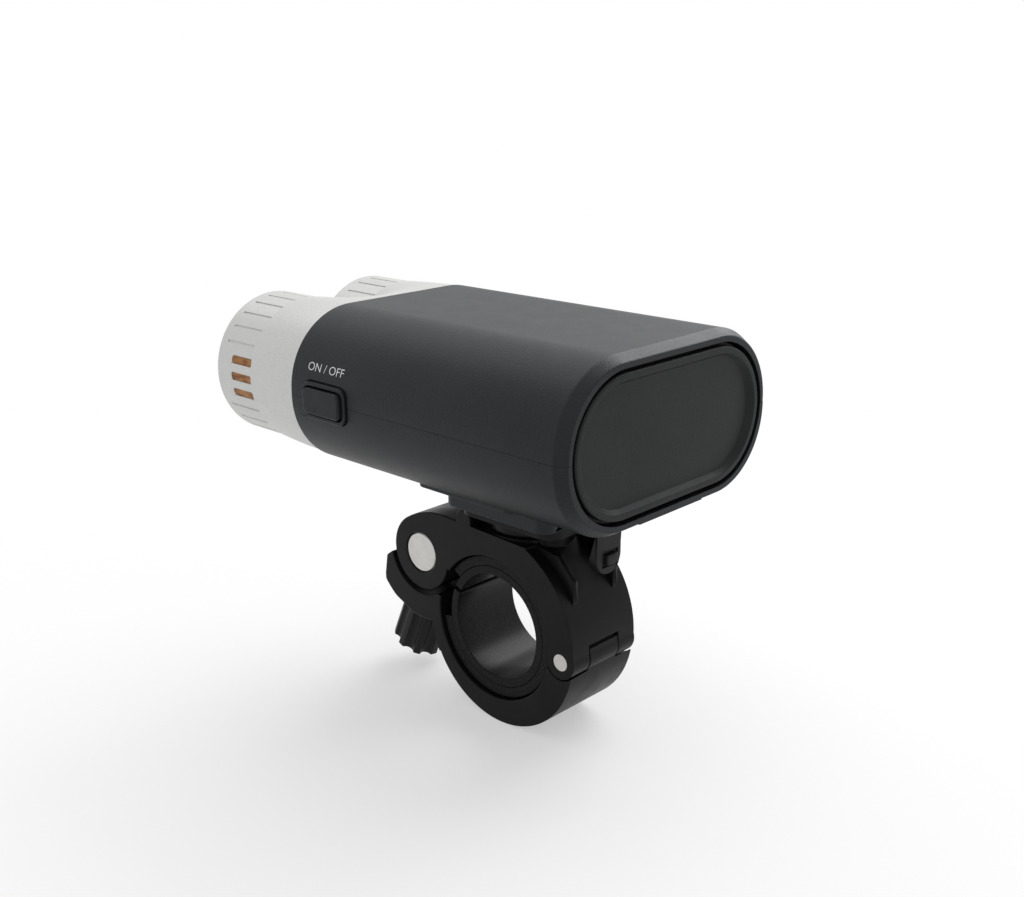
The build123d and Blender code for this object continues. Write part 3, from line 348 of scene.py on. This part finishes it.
# Zinc-plated steel stud, washers, nut, pin and screws: slightly cloudy plating over fine
# drawn marks.
def plated(name, colour, roughness):
    """Bright metal with a cloudy tint and fine marks drawn along its height."""
    material, tree, shader, place = look(name, roughness, metallic=1.0)
    dull = tuple(c * 0.72 for c in colour)
    tree.links.new(
        between(tree, speckle(tree, place, size=0.0015), dull, colour),
        shader.inputs["Base Color"],
    )
    marks = speckle(tree, place, size=0.0004, stretch=(1, 1, 0.15))
    tree.links.new(
        between(tree, marks, roughness - 0.08, roughness + 0.1), shader.inputs["Roughness"]
    )
    relief(tree, shader, marks, depth=0.00001)
    return material


zinc = plated("zinc_plating", (0.60, 0.60, 0.61), roughness=0.32)
for part in (
    "clamp_stud",
    "thrust_washer",
    "swivel_screw",
    "swivel_washer",
    "swivel_nut",
    "tongue_pin",
    "shell_screws",
):
    dress(part, zinc)


# The thumb nut is a fluted nylon moulding pressed on the stud's end, in a nylon a little
# lighter than the jaws'.
lighter_nylon = moulded(
    "lighter_nylon",
    dark=(0.008, 0.008, 0.008),
    light=(0.013, 0.013, 0.013),
    roughness=0.42,
    grain=0.00035,
    depth=0.00002,
    shine=0.18,
)
eased("thumb_nut", 0.0004, lighter_nylon)


# The bracket carries the light on its T rail and turns on the upper jaw. The tongue at its
# rear is pressed with a finger to free the light.
eased("bracket", 0.0003, nylon)
# The tongue is moulded in the same lighter nylon as the thumb nut.
eased("release_tongue", 0.0003, lighter_nylon)


# The casing is moulded in two halves that meet at mid height, with a soft matt paint over a
# very fine grain.
parting_z = 0.05346
parting_reach = 0.0001
parting_share = 0.3


def soft_paint(name, dark, light, roughness, shine=0.2, depth=0.00004):
    """Soft-touch paint: dull, cool black with a dusty sparkle."""
    material, tree, shader, place = look(name, roughness)
    shader.inputs["Specular IOR Level"].default_value = shine
    shader.inputs["Specular Tint"].default_value = (0.91, 0.95, 1.0, 1)
    cloud = speckle(tree, place, size=0.02)
    dust = speckle(tree, place, size=0.0004, detail=4.0)
    tint = between(tree, cloud, dark, light)
    specks = between(tree, dust, (0, 0, 0), (0.010, 0.0105, 0.011), start=0.55, end=0.8)
    dusted = tree.nodes.new("ShaderNodeMix")
    dusted.data_type = "RGBA"
    dusted.blend_type = "ADD"
    dusted.inputs["Factor"].default_value = 1.0
    tree.links.new(tint, dusted.inputs["A"])
    tree.links.new(specks, dusted.inputs["B"])
    tree.links.new(dusted.outputs["Result"], shader.inputs["Base Color"])
    gloss = speckle(tree, place, size=0.006)
    tree.links.new(
        between(tree, gloss, roughness - 0.01, roughness + 0.02),
        shader.inputs["Roughness"],
    )
    relief(tree, shader, dust, depth, strength=0.8)
    return material


def parting(middle):
    """Narrow rounding along the parting line, full rounding elsewhere."""
    return parting_share if abs(middle.z - parting_z) < parting_reach else 1.0


casing_paint = soft_paint(
    "casing_paint",
    dark=(0.0052, 0.0060, 0.0074),
    light=(0.0080, 0.0092, 0.0110),
    roughness=0.44,
    shine=0.27,
    depth=0.00008,
)
for shell in ("upper_shell", "lower_shell"):
    eased(shell, 0.0003, casing_paint, fine=parting)


# ON / OFF is pad printed in white on the left side, above the button, along the curve of
# the casing.
letter_height = 0.0019
letter_start, letter_end = 0.0349, 0.0225
letter_foot = 0.0600
letter_lift = 0.00002
letter_thinning = -0.008
longest_edge, edge_cuts = 0.25, 3
side_radius, side_x, side_z = 0.0178, -0.0161, 0.05416
ink, tree, shader, place = look("white_ink", roughness=0.5)
tree.links.new(
    between(tree, speckle(tree, place, size=0.0002), (0.70, 0.71, 0.72), (0.88, 0.89, 0.90)),
    shader.inputs["Base Color"],
)
words = bpy.data.curves.new("switch_words", "FONT")
words.body = "ON / OFF"
words.resolution_u = 3
words.offset = letter_thinning
drawn = bpy.data.objects.new("switch_words_flat", words)
bpy.context.scene.collection.objects.link(drawn)
bpy.context.view_layer.update()
flat = bpy.data.meshes.new_from_object(
    drawn.evaluated_get(bpy.context.evaluated_depsgraph_get())
)
bpy.data.objects.remove(drawn)
flat.name = "switch_words"
left = min(v.co.x for v in flat.vertices)
width = max(v.co.x for v in flat.vertices) - left
cap_height = max(v.co.y for v in flat.vertices)
form = bmesh.new()
form.from_mesh(flat)
bmesh.ops.remove_doubles(form, verts=form.verts, dist=1e-5)
bmesh.ops.subdivide_edges(
    form, edges=[e for e in form.edges if e.calc_length() > longest_edge], cuts=edge_cuts
)
bmesh.ops.triangulate(form, faces=form.faces)
foot_angle = pi - (letter_foot - side_z) / side_radius
reach = side_radius + letter_lift
for vert in form.verts:
    along = letter_start + (letter_end - letter_start) * (vert.co.x - left) / width
    angle = foot_angle - vert.co.y / cap_height * letter_height / side_radius
    vert.co = (side_x + reach * cos(angle), along, side_z + reach * sin(angle))
form.to_mesh(flat)
form.free()
letters = bpy.data.objects.new("switch_words", flat)
bpy.context.scene.collection.objects.link(letters)
dress(letters, ink)
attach(letters, "light")


# The button is a soft rubber cap in a thin raised frame on the left side.
collar_paint = soft_paint(
    "collar_paint", dark=(0.009, 0.010, 0.011), light=(0.012, 0.013, 0.014), roughness=0.4
)
button_rubber = moulded(
    "button_rubber",
    dark=(0.010, 0.012, 0.014),
    light=(0.016, 0.018, 0.021),
    roughness=0.48,
    grain=0.0003,
    depth=0.00002,
)
eased("button_collar", 0.0002, collar_paint)
eased("button_cap", 0.0006, button_rubber)


# The front bezel is one casting with two barrels, sprayed silver: bright, satin, with fine
# metal flake.
def flake_paint(name, dark, light, roughness):
    """Silver paint with metal flake and a faint orange peel."""
    material, tree, shader, place = look(name, roughness, metallic=0.72)
    flake = speckle(tree, place, size=0.00022, detail=5.0)
    tree.links.new(
        between(tree, flake, dark, light, start=0.35, end=0.65), shader.inputs["Base Color"]
    )
    gloss = speckle(tree, place, size=0.003)
    tree.links.new(
        between(tree, gloss, roughness - 0.03, roughness + 0.05),
        shader.inputs["Roughness"],
    )
    relief(tree, shader, speckle(tree, place, size=0.0011), depth=0.000012)
    return material


silver = flake_paint(
    "silver_paint", dark=(0.50, 0.50, 0.49), light=(0.62, 0.62, 0.61), roughness=0.42
)
eased("front_bezel", 0.0002, silver)


# Amber acrylic inserts show through the slots at the sides of the barrels.
amber, tree, shader, place = look("amber_acrylic", roughness=0.28)
shader.inputs["Transmission Weight"].default_value = 0.1
shader.inputs["IOR"].default_value = 1.49
shader.inputs["Specular IOR Level"].default_value = 0.2
streaks = speckle(tree, place, size=0.0009, stretch=(1, 0.3, 1))
tree.links.new(
    between(tree, streaks, (0.24, 0.085, 0.018), (0.50, 0.22, 0.065), start=0.36, end=0.64),
    shader.inputs["Base Color"],
)
relief(tree, shader, speckle(tree, place, size=0.0008), depth=0.00003)
for side in ("left", "right"):
    dress("side_marker_" + side, amber)


# Behind each clear dome sits a metallised bowl with an LED on its round board, all on one
# finned aluminium plate.
clear, tree, shader, place = look("clear_acrylic", roughness=0.03)
shader.inputs["Transmission Weight"].default_value = 1.0
shader.inputs["IOR"].default_value = 1.49
relief(tree, shader, speckle(tree, place, size=0.004), depth=0.000015, strength=0.4)
tree.links.new(
    between(tree, speckle(tree, place, size=0.01), (0.93, 0.95, 0.96), (0.98, 0.99, 1.0)),
    shader.inputs["Base Color"],
)

chrome, tree, shader, place = look("bowl_chrome", roughness=0.07, metallic=1.0)
tree.links.new(
    between(tree, speckle(tree, place, size=0.003), (0.82, 0.83, 0.85), (0.93, 0.94, 0.95)),
    shader.inputs["Base Color"],
)
facets = tree.nodes.new("ShaderNodeTexVoronoi")
facets.inputs["Scale"].default_value = 700
tree.links.new(place, facets.inputs["Vector"])
relief(tree, shader, facets.outputs["Distance"], depth=0.00006, strength=0.7)

board_green, tree, shader, place = look("board_lacquer", roughness=0.3)
tracks = tree.nodes.new("ShaderNodeTexBrick")
tracks.inputs["Color1"].default_value = (0.010, 0.105, 0.045, 1)
tracks.inputs["Color2"].default_value = (0.014, 0.130, 0.058, 1)
tracks.inputs["Mortar"].default_value = (0.030, 0.200, 0.095, 1)
tracks.inputs["Scale"].default_value = 260
tracks.inputs["Mortar Size"].default_value = 0.03
tree.links.new(place, tracks.inputs["Vector"])
tree.links.new(tracks.outputs["Color"], shader.inputs["Base Color"])
relief(tree, shader, tracks.outputs["Fac"], depth=0.00003)

phosphor, tree, shader, place = look("lamp_phosphor", roughness=0.2)
tree.links.new(
    between(tree, speckle(tree, place, size=0.0006), (0.85, 0.72, 0.20), (0.92, 0.88, 0.55)),
    shader.inputs["Base Color"],
)
relief(tree, shader, speckle(tree, place, size=0.0003), depth=0.00001)

bare_aluminium = plated("bare_aluminium", (0.66, 0.66, 0.67), roughness=0.4)
dress("heat_sink", bare_aluminium)
for side in ("left", "right"):
    dress("lens_" + side, clear)
    dress("reflector_" + side, chrome)
    dress("led_board_" + side, board_green)
    dress("led_" + side, phosphor)


# Inside the casing: the driver board with its parts, the switch on its board, and the
# bulkhead board with a spring leaf for each cell.
black_case = moulded(
    "component_case",
    dark=(0.016, 0.016, 0.017),
    light=(0.028, 0.028, 0.030),
    roughness=0.35,
    grain=0.0002,
    depth=0.00001,
)
nickel = plated("nickel_leaf", (0.68, 0.66, 0.62), roughness=0.25)
for board in ("driver_board", "switch_board", "contact_board"):
    dress(board, board_green)
for device in ("driver_parts", "tact_switch"):
    dress(device, black_case)
dress("contact_leaves", nickel)


# The rear cap closes the casing with a rubber ring in its groove, and pulls out with the
# trough that holds the four cells.
cap_paint = soft_paint(
    "cap_paint",
    dark=(0.010, 0.0105, 0.0105),
    light=(0.014, 0.0145, 0.0145),
    roughness=0.46,
)
eased("rear_cap", 0.00015, cap_paint)
seal_rubber = moulded(
    "seal_rubber",
    dark=(0.012, 0.012, 0.012),
    light=(0.022, 0.022, 0.022),
    roughness=0.55,
    grain=0.0004,
    depth=0.00002,
)
tray_nylon = moulded(
    "tray_nylon",
    dark=(0.022, 0.022, 0.023),
    light=(0.034, 0.034, 0.035),
    roughness=0.45,
    grain=0.0004,
    depth=0.00002,
)
dress("cap_seal", seal_rubber)
dress("battery_tray", tray_nylon)

cell_back, cell_front = -0.0375, 0.0125
cell_wrap, tree, shader, place = look("cell_wrap", roughness=0.28)
split = tree.nodes.new("ShaderNodeSeparateXYZ")
tree.links.new(place, split.inputs["Vector"])
band = between(tree, split.outputs["Y"], 0.0, 1.0, start=cell_back, end=cell_front)
tree.links.new(
    between(tree, band, (0.045, 0.05, 0.055), (0.50, 0.36, 0.16), start=0.70, end=0.72),
    shader.inputs["Base Color"],
)
relief(tree, shader, speckle(tree, place, size=0.003), depth=0.00002)
for cell in ("cell_1", "cell_2", "cell_3", "cell_4"):
    dress(cell, cell_wrap)


# Plain pale floor under the lower jaw, in an even white room. Away from the light the floor
# is as white as the paper behind it, and near it keeps a soft shadow.
floor_gap = 0.0001
floor_half = 4
floor_z = cad_box[0][2] - floor_gap
shadow_start, shadow_end = 0.05, 0.20
floor_mesh = bpy.data.meshes.new("floor")
floor_mesh.from_pydata(
    [
        (-floor_half, -floor_half, floor_z),
        (floor_half, -floor_half, floor_z),
        (floor_half, floor_half, floor_z),
        (-floor_half, floor_half, floor_z),
    ],
    [],
    [(0, 1, 2, 3)],
)
floor = bpy.data.objects.new("floor", floor_mesh)
bpy.context.scene.collection.objects.link(floor)
white_floor = bpy.data.materials.new("floor_white")
white_floor.use_nodes = True
tree = white_floor.node_tree
shader = tree.nodes["Principled BSDF"]
shader.inputs["Roughness"].default_value = 0.9
shader.inputs["Specular IOR Level"].default_value = 0.0
place = tree.nodes.new("ShaderNodeTexCoord").outputs["Object"]
tree.links.new(
    between(tree, speckle(tree, place, size=0.5), (0.93, 0.93, 0.93), (0.95, 0.95, 0.95)),
    shader.inputs["Base Color"],
)
away = tree.nodes.new("ShaderNodeVectorMath")
away.operation = "LENGTH"
tree.links.new(place, away.inputs[0])
rays = tree.nodes.new("ShaderNodeLightPath")
seen = tree.nodes.new("ShaderNodeMath")
seen.operation = "MAXIMUM"
tree.links.new(rays.outputs["Is Camera Ray"], seen.inputs[0])
tree.links.new(rays.outputs["Is Glossy Ray"], seen.inputs[1])
fade = tree.nodes.new("ShaderNodeMath")
fade.operation = "MULTIPLY"
tree.links.new(seen.outputs["Value"], fade.inputs[0])
tree.links.new(
    between(tree, away.outputs["Value"], 0.45, 1.0, start=shadow_start, end=shadow_end),
    fade.inputs[1],
)
white = tree.nodes.new("ShaderNodeEmission")
paper = tree.nodes.new("ShaderNodeMixShader")
tree.links.new(fade.outputs["Value"], paper.inputs["Fac"])
tree.links.new(shader.outputs["BSDF"], paper.inputs[1])
tree.links.new(white.outputs["Emission"], paper.inputs[2])
tree.links.new(paper.outputs["Shader"], tree.nodes["Material Output"].inputs["Surface"])
dress(floor, white_floor)

room_light, room_white = 0.6, 1.0
world = bpy.data.worlds.new("white_room")
bpy.context.scene.world = world
world.use_nodes = True
tree = world.node_tree
room = tree.nodes["Background"]
rays = tree.nodes.new("ShaderNodeLightPath")
seen = tree.nodes.new("ShaderNodeMath")
seen.operation = "MAXIMUM"
tree.links.new(rays.outputs["Is Camera Ray"], seen.inputs[0])
tree.links.new(rays.outputs["Is Transmission Ray"], seen.inputs[1])
shown = tree.nodes.new("ShaderNodeMath")
shown.operation = "MAXIMUM"
tree.links.new(seen.outputs["Value"], shown.inputs[0])
tree.links.new(rays.outputs["Is Glossy Ray"], shown.inputs[1])
level = between(tree, shown.outputs["Value"], room_light, room_white, start=0.0, end=1.0)
tree.links.new(level, room.inputs["Strength"])
room.inputs["Color"].default_value = (1, 1, 1, 1)


def softbox(name, where, aim, size, power):
    """Large square lamp that looks at a point."""
    lamp = bpy.data.lights.new(name, "AREA")
    lamp.shape = "SQUARE"
    lamp.size = size
    lamp.energy = power
    thing = bpy.data.objects.new(name, lamp)
    bpy.context.scene.collection.objects.link(thing)
    thing.location = where
    thing.rotation_euler = (
        (Vector(aim) - Vector(where)).to_track_quat("-Z", "Y").to_euler()
    )


softbox("top_softbox", where=(0.10, 0.20, 0.60), aim=(0, 0, 0.03), size=0.6, power=1.0)
softbox("right_softbox", where=(0.48, 0.02, 0.42), aim=(0, 0, 0.04), size=0.4, power=2.2)

bpy.context.scene.view_settings.view_transform = "Standard"
